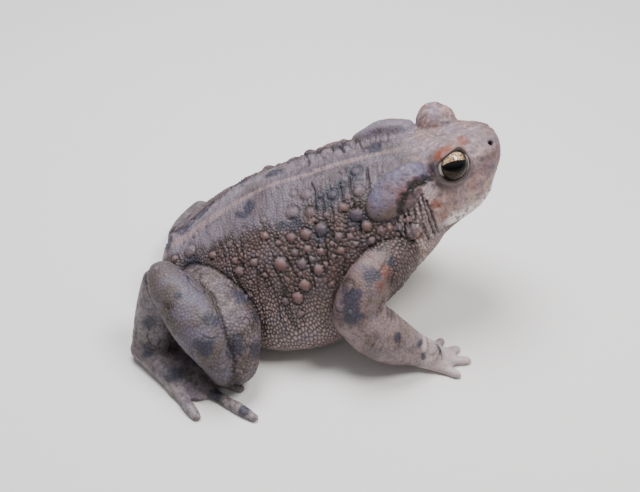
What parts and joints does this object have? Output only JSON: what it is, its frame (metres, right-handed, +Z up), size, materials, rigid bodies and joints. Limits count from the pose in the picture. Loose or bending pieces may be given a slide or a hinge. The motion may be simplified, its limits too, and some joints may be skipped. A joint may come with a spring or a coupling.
{
  "type": "california toad",
  "caption": "Life-size still model of a squat, warty toad sitting alert, with a raised head, large eyes, oval neck glands and folded hind legs.",
  "frame": {"origin": "middle of the underside of the whole toad's box, on the ground it sits on", "axes": "+X towards the snout, +Y towards the toad's left, +Z up"},
  "size_m": [0.0992, 0.0936, 0.0527],
  "materials": {
    "back_skin": "dry, warty toad skin, grey-brown with a pale line down the back",
    "head_skin": "smooth, slightly damp toad skin",
    "throat_skin": "pale, finely granular throat skin",
    "arm_skin": "granular toad skin with dark blotches",
    "leg_skin": "granular toad skin with dark blotches",
    "gland_skin": "smooth, thick gland skin",
    "eye": "wet, glossy eye with a gold-flecked iris"
  },
  "bodies": {
    "root": {"torso": "back_skin", "head": "head_skin", "lower_jaw": "throat_skin", "parotoid_left": "gland_skin", "parotoid_right": "gland_skin", "eye_left": "eye", "eye_right": "eye", "upper_arm_left": "arm_skin", "forearm_left": "arm_skin", "hand_left": "arm_skin", "thigh_left": "leg_skin", "shank_left": "leg_skin", "tarsus_left": "leg_skin", "foot_left": "leg_skin", "upper_arm_right": "arm_skin", "forearm_right": "arm_skin", "hand_right": "arm_skin", "thigh_right": "leg_skin", "shank_right": "leg_skin", "tarsus_right": "leg_skin", "foot_right": "leg_skin"}
  },
  "joints": []
}
